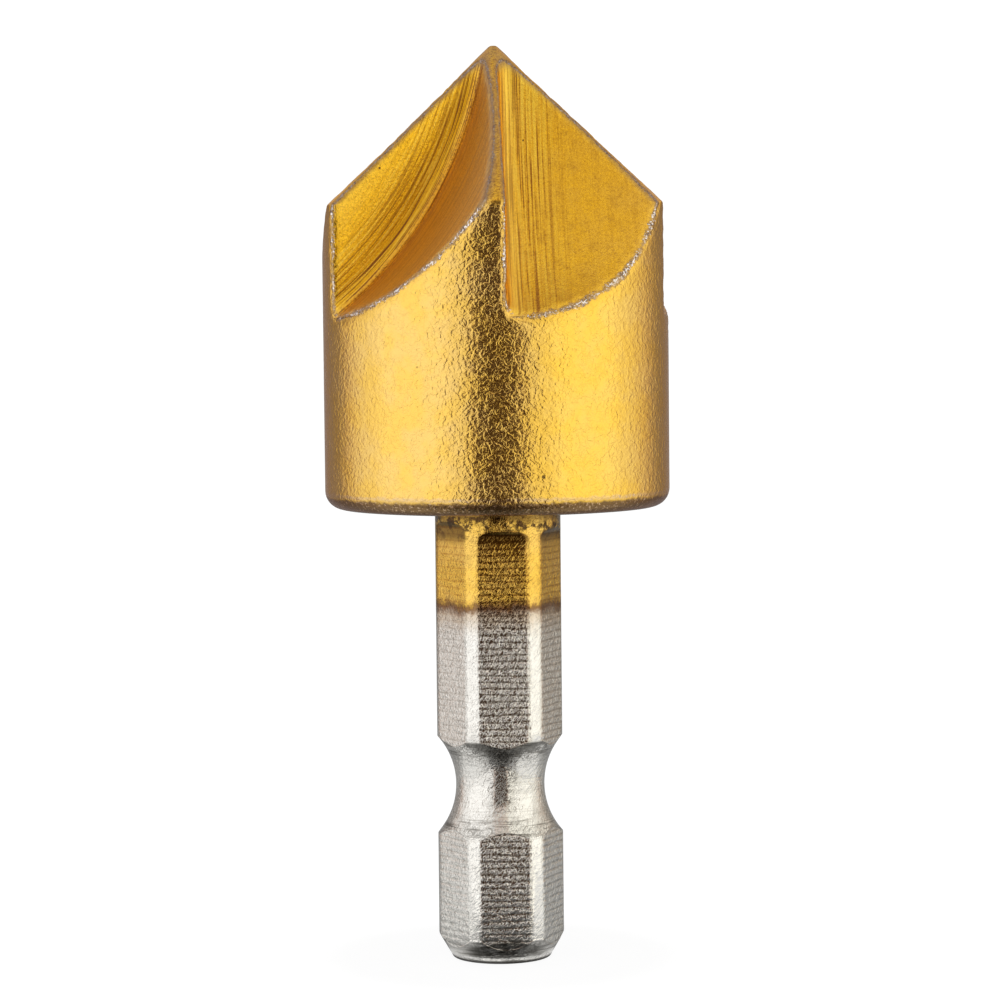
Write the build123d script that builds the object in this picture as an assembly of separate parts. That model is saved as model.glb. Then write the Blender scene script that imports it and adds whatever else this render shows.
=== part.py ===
from build123d import *
import math
import os

# Countersink bit: one piece of high-speed steel, with a turned body, a milled hex shank and ground flutes.
# Millimetres. +Z runs from the shank's end face, at the origin, to the point. One hex flat faces -Y.
# A compass angle is measured about +Z, from -Y towards +X, which is also the way the bit turns.

# ---- head
head_diameter = 19.0
head_length = 25.3           # lower face to blunt point
point_angle = 94.0           # included angle of the cutting cone
tip_flat_diameter = 0.36     # the blunt end of the point
rim_radius = 1.0             # rounded lower rim
neck_fillet = 0.4            # inside corner between lower face and shank

# ---- hex shank
shank_length = 25.0          # end face to the head's lower face
across_flats = 6.35
corner_turning = 0.39        # taken off the sharp hexagon's width over corners, which leaves them round
neck_lengths = (1.1, 1.05, 0.65)   # head to where each pair of opposite flats runs out in the round
flat_end_radius = 0.5        # corner radius of the cutter that mills the flats
end_chamfer_length = 1.33    # along the axis
end_chamfer_depth = 0.77     # towards the axis

# ---- locking groove of the shank
groove_height = 9.63         # end face to the waist
groove_radius = 4.1
groove_depth = 1.02          # round corners to waist

# ---- flutes
flute_count = 5
flute_angle = -2.9           # compass angle of the first flute's rake wall
rake_offset = 0.2            # rake wall ahead of the plane through the axis
wheel_radius = 22.5          # grinding wheel that cuts a flute
wheel_corner_radius = 0.45   # between the wheel's side, which cuts the rake wall, and its rim
web_radius = 0.76            # axis to the flute's floor, where the floor leaves the cone
flute_length = 14.8          # blunt point to where the floor leaves the head's side

# ---- how far a cutter passes beyond the metal
clear = 2.0

overall_length = shank_length + head_length
head_radius = head_diameter / 2
flat_distance = across_flats / 2
across_corners = across_flats / math.cos(math.radians(30)) - corner_turning
corner_radius = across_corners / 2
tip_flat_radius = tip_flat_diameter / 2
cone_slope = math.tan(math.radians(point_angle / 2))


def cone_height(radius):
    """Height above the end face at which the cone has this radius."""
    return overall_length - (radius - tip_flat_radius) / cone_slope


def blank():
    """The turned body: chamfered end, grooved shank, neck, head and cone, revolved from its half section."""
    half_groove = math.sqrt(groove_radius**2 - (groove_radius - groove_depth)**2)
    end_edge = (corner_radius - end_chamfer_depth, 0)
    chamfer_top = (corner_radius, end_chamfer_length)
    groove_bottom = (corner_radius, groove_height - half_groove)
    groove_waist = (corner_radius - groove_depth, groove_height)
    groove_top = (corner_radius, groove_height + half_groove)
    neck_start = (corner_radius, shank_length - neck_fillet)
    neck_end = (corner_radius + neck_fillet, shank_length)
    rim_start = (head_radius - rim_radius, shank_length)
    rim_end = (head_radius, shank_length + rim_radius)
    shoulder = (head_radius, cone_height(head_radius))
    tip_edge = (tip_flat_radius, overall_length)

    with BuildPart() as turned:
        with BuildSketch(Plane.XZ):
            with BuildLine():
                Polyline((0, 0), end_edge, chamfer_top, groove_bottom)
                ThreePointArc(groove_bottom, groove_waist, groove_top)
                Line(groove_top, neck_start)
                TangentArc(neck_start, neck_end, tangent=(0, 1))
                Line(neck_end, rim_start)
                TangentArc(rim_start, rim_end, tangent=(1, 0))
                Polyline(rim_end, shoulder, tip_edge, (0, overall_length), (0, 0))
            make_face()
        revolve(axis=Axis.Z)
    return turned.part


def flat_cutter(neck_length):
    """The metal milled away on the -Y side: beyond the flat, and up to a rounded run-out below the head."""
    top = shank_length - neck_length
    inner_corner = (-flat_distance, top)
    outer_corner = (-corner_radius - clear, -clear)
    with BuildPart() as cutter:
        with BuildSketch(Plane.YZ):
            with BuildLine():
                bottom = (inner_corner[0], outer_corner[1])
                arc_start = (inner_corner[0], top - flat_end_radius)
                arc_end = (inner_corner[0] - flat_end_radius, top)
                outer_top = (outer_corner[0], top)
                Line(bottom, arc_start)
                TangentArc(arc_start, arc_end, tangent=(0, 1))
                Polyline(arc_end, outer_top, outer_corner, bottom)
            make_face()
        extrude(amount=corner_radius + clear, both=True)
    return cutter.part


def flute_cutter():
    """The grinding wheel at a flute that faces -Y: its side cuts the rake wall, and its rim cuts the floor."""
    runout = Vector(head_radius, overall_length - flute_length)
    start = Vector(web_radius, cone_height(web_radius))
    chord = start - runout
    rise = math.sqrt(wheel_radius**2 - (chord.length / 2)**2)
    outward = Vector(chord.Y, -chord.X).normalized()
    centre = (runout + start) * 0.5 + outward * rise
    wheel_width = head_radius + clear
    with BuildPart() as wheel:
        with BuildSketch(Plane(origin=(rake_offset, -centre.X, centre.Y), x_dir=(0, 1, 0), z_dir=(1, 0, 0))):
            Circle(wheel_radius)
        extrude(amount=wheel_width)
        fillet(wheel.edges().sort_by(Axis.X)[0], wheel_corner_radius)
    return wheel.part


def countersink_bit():
    """The blank less its six flats and its flutes."""
    bit = blank()
    for side, neck_length in enumerate(neck_lengths):
        cutter = flat_cutter(neck_length)
        bit -= cutter.rotate(Axis.Z, 60 * side)
        bit -= cutter.rotate(Axis.Z, 60 * side + 180)
    wheel = flute_cutter().rotate(Axis.Z, flute_angle)
    for flute in range(flute_count):
        bit -= wheel.rotate(Axis.Z, flute * 360 / flute_count)
    return bit


os.makedirs("parts", exist_ok=True)
export_step(countersink_bit(), "parts/countersink_bit.step")
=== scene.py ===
import math
import bpy
from mathutils import Matrix, Vector


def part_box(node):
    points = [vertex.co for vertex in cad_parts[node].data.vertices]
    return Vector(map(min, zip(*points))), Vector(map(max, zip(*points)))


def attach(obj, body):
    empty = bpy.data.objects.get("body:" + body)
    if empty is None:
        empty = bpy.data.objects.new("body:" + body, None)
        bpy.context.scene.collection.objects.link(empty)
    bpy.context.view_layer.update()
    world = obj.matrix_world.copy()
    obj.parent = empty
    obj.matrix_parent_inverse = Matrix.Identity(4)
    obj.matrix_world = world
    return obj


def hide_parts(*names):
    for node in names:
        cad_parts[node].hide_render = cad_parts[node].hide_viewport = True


bl_info = {
    "name": "Countersink Bit",
    "version": (1, 0, 0),
    "blender": (4, 5, 0),
    "location": "3D View > Sidebar > Countersink",
    "description": "Builds a five-flute countersink bit with a coated head and a hex shank, and its studio stage",
    "category": "Add Mesh",
}

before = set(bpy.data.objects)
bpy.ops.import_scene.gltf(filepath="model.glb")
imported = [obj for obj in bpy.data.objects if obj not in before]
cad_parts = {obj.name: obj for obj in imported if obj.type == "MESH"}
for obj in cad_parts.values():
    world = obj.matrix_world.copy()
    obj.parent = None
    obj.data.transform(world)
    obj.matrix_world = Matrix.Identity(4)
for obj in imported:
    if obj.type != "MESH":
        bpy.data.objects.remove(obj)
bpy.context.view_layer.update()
OVERALL_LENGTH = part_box("countersink_bit")[1][2]

MM = 0.001
PIECE = "countersink_bit_finish"
DEGREES = 180 / math.pi
CAMERA_ANGLE = -5.5          # compass angle of the camera, in degrees


# ---------------------------------------------------------------- sizes and colours

def length_setting(name, description, millimetres):
    """A length that the user can change."""
    return bpy.props.FloatProperty(name=name, description=description, default=millimetres * MM, unit="LENGTH")


def lengths_setting(name, description, millimetres):
    """Several lengths in one setting."""
    return bpy.props.FloatVectorProperty(name=name, description=description, size=len(millimetres),
                                         default=[value * MM for value in millimetres], unit="LENGTH")


def angle_setting(name, description, degrees):
    """An angle that the user can change."""
    return bpy.props.FloatProperty(name=name, description=description, default=math.radians(degrees),
                                   subtype="ANGLE")


def colour_setting(name, description, values):
    """A colour that the user can change."""
    return bpy.props.FloatVectorProperty(name=name, description=description, default=values, subtype="COLOR",
                                         min=0.0, max=1.0)


class BitSettings(bpy.types.PropertyGroup):
    """Sizes of the bit, in metres, as it was turned, milled and ground, and its colours."""
    head_radius: length_setting("Head radius", "Radius of the head's side", 9.5)
    head_bottom: length_setting("Head bottom", "Height of the head's lower face above the shank's end", 25.0)
    rim_radius: length_setting("Rim radius", "Rounding of the head's lower rim", 1.0)
    point_angle: angle_setting("Point angle", "Included angle of the cutting cone", 94)
    tip_radius: length_setting("Tip radius", "Radius of the blunt end of the point", 0.18)
    shoulder_rounding: length_setting("Shoulder rounding", "Rounding between the cone and the head's side", 0.2)
    corner_radius: length_setting("Corner radius", "Radius over the shank's turned corners", 3.471)
    flat_distance: length_setting("Flat distance", "From the axis to a flat of the shank", 3.175)
    neck_rounding: length_setting("Neck rounding", "Inside corner between the shank and the head's lower face", 0.4)
    end_chamfer: lengths_setting("End chamfer", "Depth and length of the chamfer at the shank's end", (0.77, 1.33))
    groove_height: length_setting("Groove height", "From the shank's end to the groove's waist", 9.63)
    groove_radius: length_setting("Groove radius", "Radius of the locking groove's section", 4.1)
    groove_depth: length_setting("Groove depth", "From the turned corners to the groove's waist", 1.02)
    flat_tops: lengths_setting("Flat tops", "Height at which each pair of opposite flats ends", (23.9, 23.95, 24.35))
    flat_end_radius: length_setting("Flat end radius", "Corner radius of the cutter that mills the flats", 0.5)
    flutes: bpy.props.IntProperty(name="Flutes", description="Number of ground flutes", default=5, min=2, max=8)
    flute_angle: angle_setting("Flute angle", "Compass angle of the first flute", -2.9)
    rake_offset: length_setting("Rake offset", "Distance of a rake wall from the plane through the axis", 0.2)
    wheel_radius: length_setting("Wheel radius", "Radius of the grinding wheel that cuts a flute", 22.5)
    wheel_corner: length_setting("Wheel corner", "Rounded corner of the grinding wheel", 0.70)
    web_radius: length_setting("Web radius", "From the axis to the flute's floor, where it leaves the cone", 0.76)
    runout_height: length_setting("Run-out height", "Height at which a flute's floor leaves the head's side", 35.5)
    edge_wear: length_setting("Edge wear", "Width over which the flutes' edges are worn round", 0.42)
    hex_wear: length_setting("Hex edge wear", "Width over which the flats' edges are worn round", 0.08)
    coat_colour: colour_setting("Coat", "Gold coat on the turned skin", (0.95, 0.602, 0.110))
    pale_coat_colour: colour_setting("Pale coat", "Paler clouds in the coat on the turned skin", (0.92, 0.607, 0.165))
    ground_coat_colour: colour_setting(
        "Ground coat", "Gold coat on the flutes' floors and the cone", (0.92, 0.53, 0.050))
    wall_coat_colour: colour_setting("Rake wall coat", "Gold coat on the flutes' rake walls", (1.0, 0.56, 0.012))
    # painted shade: the colour of the wheel's lines, the milled troughs and the skin's creases
    line_shade_colour: colour_setting("Dark lines", "Coat in the grinding wheel's deep lines", (0.33, 0.125, 0.013))
    # painted highlight: lighter gold on the ridges between the wheel's lines, on the floor beside the rake wall and
    # on the rake wall away from the floor
    line_highlight_colour: colour_setting(
        "Bright lines", "Coat on the ridges between the wheel's lines", (1.0, 0.68, 0.09))
    # painted shade on the downward-facing rim and lower face
    rim_shade_colour: colour_setting("Rim", "Thin brown coat on the head's lower rim and face", (0.15, 0.085, 0.042))
    bare_colour: colour_setting("Bare grains", "Bare metal on the worn edges", (0.95, 0.90, 0.87))
    burn_colour: colour_setting("Coat limit", "Burnt line where the coat ends on the shank", (0.16, 0.065, 0.035))
    steel_colour: colour_setting("Steel", "Bare steel of the shank", (0.80, 0.78, 0.725))
    light_steel_colour: colour_setting("Light steel", "Lighter clouds in the bare steel", (0.93, 0.915, 0.87))
    # painted shade under the flats' lower ends and on the end's chamfer, with dark squiggles
    flat_end_shade_colour: colour_setting("Painted shade", "Grime beside the flats' lower ends", (0.085, 0.080, 0.066))


def opaque(red, green, blue):
    """A colour for a node's input, which has four values."""
    return (red, green, blue, 1.0)


# ---------------------------------------------------------------- node helpers

def arithmetic(operation, swapped=False):
    """A method of Wire that joins two values with a Math node."""
    def method(self, other):
        pair = (other, self) if swapped else (self, other)
        return self.maker.math(operation, *pair)
    return method


class Wire:
    """An output socket that can be used in arithmetic, which adds Math nodes to its tree."""

    def __init__(self, maker, socket):
        self.maker = maker
        self.socket = socket

    def __neg__(self):
        return self * -1.0

    __add__, __radd__ = arithmetic("ADD"), arithmetic("ADD", swapped=True)
    __sub__, __rsub__ = arithmetic("SUBTRACT"), arithmetic("SUBTRACT", swapped=True)
    __mul__, __rmul__ = arithmetic("MULTIPLY"), arithmetic("MULTIPLY", swapped=True)
    __truediv__ = arithmetic("DIVIDE")


class NodeMaker:
    """Adds nodes to one tree, from left to right."""

    def __init__(self, tree):
        self.tree = tree
        self.column = 0

    def node(self, kind, **settings):
        node = self.tree.nodes.new(kind)
        node.location = (40 * (self.column % 60), -220 * (self.column // 60))
        self.column += 1
        for name, value in settings.items():
            setattr(node, name, value)
        return node

    def fill(self, node, inputs):
        """Gives a node these inputs, by name or number."""
        for name, value in inputs.items():
            self.put(node.inputs[name], value)
        return node

    def made(self, kind, inputs, **settings):
        """A new node with these inputs."""
        return self.fill(self.node(kind, **settings), inputs)

    def put(self, socket, value):
        """Links a wire to an input, or writes a plain value in it."""
        if isinstance(value, Wire):
            self.tree.links.new(value.socket, socket)
        elif value is not None:
            socket.default_value = value

    def out(self, node, name=0):
        return Wire(self, node.outputs[name])

    def step(self, kind, geometry, **inputs):
        """What a geometry node of this kind makes of a geometry."""
        return self.out(self.made(kind, {0: geometry, **inputs}))

    def math(self, operation, *values, clamp=False):
        return self.out(self.made("ShaderNodeMath", dict(enumerate(values)), operation=operation, use_clamp=clamp))

    def greater(self, a, b):
        return self.math("MAXIMUM", a, b)

    def smaller(self, a, b):
        return self.math("MINIMUM", a, b)

    def hypot(self, a, b):
        """The long side of a right triangle."""
        return self.math("SQRT", a * a + b * b)

    def short_side(self, long, other):
        """A short side of a right triangle, from its long side and the other short one."""
        return self.math("SQRT", self.greater(long * long - other * other, 0.0))

    def clamp01(self, value):
        return self.math("ADD", value, 0.0, clamp=True)

    def away(self, value, middle):
        """How far a value is from the middle one, on either side."""
        return self.math("ABSOLUTE", value - middle)

    def blend(self, low, high, part):
        """low where part is 0, high where part is 1."""
        return self.math("MULTIPLY_ADD", part, high - low, low)

    def vector(self, operation, *values):
        node = self.made("ShaderNodeVectorMath", dict(enumerate(values)), operation=operation)
        return self.out(node, "Value" if operation == "DOT_PRODUCT" else "Vector")

    def dot(self, a, b):
        return self.vector("DOT_PRODUCT", a, b)

    def scaled(self, vector, factor):
        return self.out(self.made("ShaderNodeVectorMath", {0: vector, "Scale": factor}, operation="SCALE"))

    def combine(self, x=0.0, y=0.0, z=0.0):
        return self.out(self.made("ShaderNodeCombineXYZ", {"X": x, "Y": y, "Z": z}))

    def separate(self, vector):
        node = self.made("ShaderNodeSeparateXYZ", {0: vector})
        return self.out(node, "X"), self.out(node, "Y"), self.out(node, "Z")

    def switch(self, kind, test, false, true):
        inputs = {"Switch": test, "False": false, "True": true}
        return self.out(self.made("GeometryNodeSwitch", inputs, input_type=kind))

    def mix_colour(self, part, low, high, blend="MIX"):
        node = self.made("ShaderNodeMix", {"Factor": part, 6: low, 7: high}, data_type="RGBA", blend_type=blend)
        return self.out(node, 2)

    def painted(self, colour, *layers):
        """A colour under layers of others. Each layer is a mask and its colour."""
        for part, layer in layers:
            colour = self.mix_colour(part, colour, layer)
        return colour

    def ramp(self, value, low, high, smooth=True):
        """0 below low and 1 above high."""
        node = self.made("ShaderNodeMapRange", {"Value": value, "From Min": low, "From Max": high},
                         interpolation_type="SMOOTHSTEP" if smooth else "LINEAR")
        return self.out(node, "Result")

    def noise(self, vector, scale, detail=2.0, roughness=0.5, distortion=0.0):
        node = self.made("ShaderNodeTexNoise", {"Vector": vector, "Scale": scale, "Detail": detail,
                                                "Roughness": roughness, "Distortion": distortion})
        return self.out(node, "Fac")

    def sway(self, vector, scale, detail, roughness, amount):
        """Noise that goes as far below zero as above it."""
        return (self.noise(vector, scale, detail, roughness) - 0.5) * amount

    def attribute(self, name, output="Fac"):
        """What the geometry nodes stored under this name."""
        return self.out(self.node("ShaderNodeAttribute", attribute_name=name), output)


# ---------------------------------------------------------------- half section

def rounded(before, corner, after, radius, steps):
    """Points of the arc that rounds a corner of the half section."""
    ax, az = before[0] - corner[0], before[1] - corner[1]
    bx, bz = after[0] - corner[0], after[1] - corner[1]
    a_len, b_len = math.hypot(ax, az), math.hypot(bx, bz)
    ax, az, bx, bz = ax / a_len, az / a_len, bx / b_len, bz / b_len
    half = math.acos(max(-1.0, min(1.0, ax * bx + az * bz))) / 2
    back = radius / math.tan(half)
    middle = radius / math.sin(half)
    mx, mz = ax + bx, az + bz
    m_len = math.hypot(mx, mz)
    cx, cz = corner[0] + mx / m_len * middle, corner[1] + mz / m_len * middle
    start = math.atan2(corner[1] + az * back - cz, corner[0] + ax * back - cx)
    end = math.atan2(corner[1] + bz * back - cz, corner[0] + bx * back - cx)
    turn = (end - start + math.pi) % (2 * math.pi) - math.pi
    return [(cx + radius * math.cos(start + turn * k / steps), cz + radius * math.sin(start + turn * k / steps))
            for k in range(steps + 1)]


def run(start, end, spacing):
    """Points between two ends, with neither end, about one spacing apart."""
    count = max(1, round(math.dist(start, end) / spacing))
    return [(start[0] + (end[0] - start[0]) * k / count, start[1] + (end[1] - start[1]) * k / count)
            for k in range(1, count)]


END_ROUNDING = 0.12 * MM      # edge of the shank's end
CHAMFER_ROUNDING = 0.25 * MM  # between the end's chamfer and the turned corners
POINT_ROUNDING = 0.30 * MM    # edge of the blunt point
GROOVE_STEPS = 26


def half_section(s):
    """The turned outline from the shank's end to the point, as (radius, height), one point for each row."""
    slope = math.tan(s.point_angle / 2)
    top = OVERALL_LENGTH
    shoulder = (s.head_radius, top - (s.head_radius - s.tip_radius) / slope)
    tip_edge = (s.tip_radius, top)
    depth, length = s.end_chamfer
    end_edge = (s.corner_radius - depth, 0.0)
    chamfer_top = (s.corner_radius, length)
    half_groove = math.sqrt(s.groove_radius**2 - (s.groove_radius - s.groove_depth)**2)
    groove_low = (s.corner_radius, s.groove_height - half_groove)
    groove_high = (s.corner_radius, s.groove_height + half_groove)
    lower_face = (s.corner_radius, s.head_bottom)
    lower_rim = (s.head_radius, s.head_bottom)

    points = [(0.0, 0.0)] + run((0.0, 0.0), end_edge, 0.6 * MM)
    edge = rounded((0.0, 0.0), end_edge, chamfer_top, END_ROUNDING, 3)
    points += edge + run(edge[-1], chamfer_top, 0.22 * MM)
    edge = rounded(end_edge, chamfer_top, groove_low, CHAMFER_ROUNDING, 3)
    points += edge + run(edge[-1], groove_low, 0.4 * MM)

    middle = (s.corner_radius - s.groove_depth + s.groove_radius, s.groove_height)
    reach = math.asin(half_groove / s.groove_radius)
    points += [(middle[0] - s.groove_radius * math.cos(reach * a), middle[1] + s.groove_radius * math.sin(reach * a))
               for a in (2 * k / GROOVE_STEPS - 1 for k in range(GROOVE_STEPS + 1))]

    flat_zone = (s.corner_radius, min(s.flat_tops) - 0.7 * MM)
    flat_zone_end = (s.corner_radius, s.head_bottom - s.neck_rounding)
    points += run(groove_high, flat_zone, 0.5 * MM) + [flat_zone]
    points += run(flat_zone, flat_zone_end, 0.085 * MM)
    neck = rounded(groove_high, lower_face, lower_rim, s.neck_rounding, 4)
    points += neck
    rim = rounded(lower_face, lower_rim, shoulder, s.rim_radius, 9)
    points += run(neck[-1], rim[0], 0.8 * MM) + rim

    flute_start = (s.head_radius, s.runout_height - 0.5 * MM)
    points += run(rim[-1], flute_start, 0.45 * MM) + [flute_start]
    edge = rounded(flute_start, shoulder, tip_edge, s.shoulder_rounding, 4)
    points += run(flute_start, edge[0], 0.125 * MM) + edge
    tip = rounded(shoulder, tip_edge, (0.0, top), POINT_ROUNDING, 5)
    points += run(edge[-1], tip[0], 0.17 * MM) + tip + [(0.0, top)]
    return points


# ---------------------------------------------------------------- the ground bit, as a rule

COLUMNS = 360
WALL_SHARE = 22 / 72         # of a flute's columns, those on the rake wall
FLOOR_SHARE = 28 / 72        # those on the floor, and the rest are on the land
CORNER_SHARE = 12 / 60       # of a flat's columns, those on each turned corner
SHANK_TURN = 27              # columns from the first flute back to the first hex corner
PASSES = 3                   # times that each point is moved towards the finished surface
MERGE_DISTANCE = 0.0008 * MM
NEARLY_ZERO = 1e-7           # keeps divisions by a length safe

BIT_INPUTS = ("Flutes", "Flute angle", "Rake offset", "Wheel radius", "Wheel corner", "Wheel distance",
              "Wheel height", "Run-out height", "Head bottom", "Lower face inside", "Lower face outside",
              "Corner radius", "Flat distance", "Flat tops", "Flat end radius", "Edge wear", "Hex edge wear",
              "Head material", "Shank material")
INPUT_KINDS = {"Flutes": "Int", "Flat tops": "Vector", "Head material": "Material", "Shank material": "Material"}


def wheel_centre(s):
    """Distance from the axis and height of the centre of the wheel that grinds a flute."""
    slope = math.tan(s.point_angle / 2)
    low = (s.head_radius, s.runout_height)
    high = (s.web_radius, OVERALL_LENGTH - (s.web_radius - s.tip_radius) / slope)
    along = (high[0] - low[0], high[1] - low[1])
    chord = math.hypot(*along)
    rise = math.sqrt(s.wheel_radius**2 - (chord / 2)**2)
    outward = (along[1] / chord, -along[0] / chord)
    return (low[0] + high[0]) / 2 + outward[0] * rise, (low[1] + high[1]) / 2 + outward[1] * rise


def eased(n, part):
    """Crowds a run of columns towards both of its ends, where the edges are."""
    return part - n.math("SINE", part * (2 * math.pi)) * (0.8 / (2 * math.pi))


def flute_depth(n, given, place, angle):
    """How far a point is inside the wheel that grinds the flute at this compass angle, and the way further in."""
    sine, cosine = n.math("SINE", angle), n.math("COSINE", angle)
    outward, across = n.combine(sine, -cosine, 0.0), n.combine(cosine, sine, 0.0)
    u, w, z = n.dot(place, outward), n.dot(place, across), n.separate(place)[2]
    corner = given["Wheel corner"]
    to_u, to_z = given["Wheel distance"] - u, given["Wheel height"] - z
    to_centre = n.hypot(to_u, to_z)
    short_side = n.greater(corner - (w - given["Rake offset"]), 0.0)
    short_rim = n.greater(corner - (given["Wheel radius"] - to_centre), 0.0)
    short = n.hypot(short_side, short_rim)
    depth = corner - short
    short = n.greater(short, NEARLY_ZERO)
    rim_part = short_rim / short / to_centre
    inward = n.vector("ADD", n.scaled(outward, rim_part * to_u), n.scaled(across, short_side / short))
    inward = n.vector("ADD", inward, n.combine(0.0, 0.0, rim_part * to_z))
    return depth, inward, n.combine(u, w, z)


def flat_depth(n, given, place, angle, top):
    """How far a point is inside the cutter that mills the flat facing this compass angle, and the way further in."""
    outward = n.combine(n.math("SINE", angle), -n.math("COSINE", angle), 0.0)
    radius = given["Flat end radius"]
    short_side = n.greater(radius - (n.dot(place, outward) - given["Flat distance"]), 0.0)
    short_top = n.greater(radius - (top - n.separate(place)[2]), 0.0)
    short = n.hypot(short_side, short_top)
    depth = radius - short
    short = n.greater(short, NEARLY_ZERO)
    inward = n.vector("ADD", n.scaled(outward, short_side / short), n.combine(0.0, 0.0, -(short_top / short)))
    return depth, inward


def head_columns(n, given, column, radius, height, sector):
    """Where a column of the head stands: rake wall, floor, then land. Gives its angle and radius, and its flute."""
    per_flute = n.math("DIVIDE", float(COLUMNS), given["Flutes"])
    flute = n.math("FLOOR", (column + 0.001) / per_flute)
    share = column / per_flute - flute
    on_wall = eased(n, n.clamp01(share / WALL_SHARE))
    on_floor = eased(n, n.clamp01((share - WALL_SHARE) / FLOOR_SHARE))
    on_land = eased(n, n.clamp01((share - (WALL_SHARE + FLOOR_SHARE)) / (1 - WALL_SHARE - FLOOR_SHARE)))
    rake = given["Rake offset"]
    floor_u = given["Wheel distance"] - n.short_side(given["Wheel radius"], height - given["Wheel height"])
    edge_u = n.short_side(radius, rake)
    heel_w = n.greater(n.short_side(radius, floor_u), rake)
    floor_u = n.smaller(floor_u, edge_u)
    u = n.blend(edge_u, floor_u, on_wall)
    w = n.blend(rake, heel_w, on_floor)
    edge_angle = n.math("ARCTAN2", rake, edge_u)
    angle = n.blend(n.math("ARCTAN2", w, u), sector + edge_angle, on_land)
    plain = n.clamp01((given["Run-out height"] - height) / (3 * MM))
    angle = n.blend(angle, share * sector + edge_angle, plain)
    turn = given["Flute angle"] + flute * sector
    return angle + turn, n.smaller(n.hypot(u, w), radius), turn, flute


def shank_columns(n, given, column, radius, height):
    """Where a column of the shank stands: half a corner, flat, half a corner. Gives its flat's angle and top too."""
    shifted = column + SHANK_TURN
    per_flat = COLUMNS / 6
    side = n.math("FLOOR", (shifted + 0.001) / per_flat)
    part = shifted / per_flat - side
    turned = n.smaller(radius, given["Corner radius"])
    half_flat = n.math("ARCCOSINE", n.smaller(given["Flat distance"] / n.greater(turned, 1e-5), 1.0))
    half_flat = n.greater(half_flat, math.radians(6))
    corner_turn = math.pi / 6 - half_flat
    angle = (corner_turn * n.clamp01(part / CORNER_SHARE)
             + half_flat * n.clamp01((part - CORNER_SHARE) / (1 - 2 * CORNER_SHARE)) * 2.0
             + corner_turn * n.clamp01((part - 1 + CORNER_SHARE) / CORNER_SHARE) - math.pi / 6)
    turn = side * (math.pi / 3)
    pair = n.math("FLOORED_MODULO", side, 3.0)
    top_0, top_1, top_2 = n.separate(given["Flat tops"])
    top = n.switch("FLOAT", n.math("GREATER_THAN", pair, 0.5), top_0,
                   n.switch("FLOAT", n.math("GREATER_THAN", pair, 1.5), top_1, top_2))
    milled = n.smaller(radius, given["Flat distance"] / n.math("COSINE", angle))
    return angle + turn, n.switch("FLOAT", n.math("LESS_THAN", height, top), radius, milled), turn, top


def keep(n, mesh, kind, **values):
    """Stores values on the mesh's points under their names."""
    for name, value in values.items():
        mesh = n.out(n.made("GeometryNodeStoreNamedAttribute", {"Geometry": mesh, "Name": name, "Value": value},
                            data_type=kind, domain="POINT"))
    return mesh


def kept(n, kind, name):
    """A value that was stored on the mesh's points."""
    return n.out(n.made("GeometryNodeInputNamedAttribute", {"Name": name}, data_type=kind), "Attribute")


def ground_surface(n, given, place, sector):
    """How to move a point onto the ground and worn surface, and what the materials read there."""
    section_r, _, section_z = n.separate(kept(n, "FLOAT_VECTOR", "section_point"))
    normal_r, _, normal_z = n.separate(kept(n, "FLOAT_VECTOR", "section_normal"))
    turn, head = kept(n, "FLOAT", "flute_turn"), kept(n, "FLOAT", "is_head")
    x, y, z = n.separate(place)
    r = n.greater(n.hypot(x, y), NEARLY_ZERO)
    blank_depth = (r - section_r) * normal_r + (z - section_z) * normal_z
    blank_way = n.combine(x / r * normal_r, y / r * normal_r, normal_z)
    cut, way, here = flute_depth(n, given, place, turn)
    next_cut, next_way, _ = flute_depth(n, given, place, turn + sector)
    nearer = n.math("GREATER_THAN", next_cut, cut)
    cut, way = n.greater(cut, next_cut), n.switch("VECTOR", nearer, way, next_way)
    mill_cut, mill_way = flat_depth(n, given, place, kept(n, "FLOAT", "flat_turn"), kept(n, "FLOAT", "flat_top"))
    cut = n.switch("FLOAT", head, mill_cut, cut)
    way = n.switch("VECTOR", head, mill_way, way)
    uneven = n.noise(n.scaled(place, 1 / MM), 1.9, 2.0, 0.55)
    wear = n.switch("FLOAT", head, given["Hex edge wear"], given["Edge wear"]) * (uneven * 1.4 + 0.3)
    apart = blank_depth - cut
    closeness = n.greater(wear - n.math("ABSOLUTE", apart), 0.0) / wear
    beyond = n.greater(blank_depth, cut) + closeness * closeness * wear * 0.25
    lean = n.clamp01(apart / wear * 0.5 + 0.5)
    slope = n.vector("ADD", n.scaled(blank_way, lean), n.scaled(way, 1.0 - lean))
    shift = n.scaled(slope, -(beyond / n.greater(n.dot(slope, slope), 0.2)))
    return shift, n.math("ABSOLUTE", apart) * (1 / MM), 1.0 - lean, n.scaled(here, 1 / MM)


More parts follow.
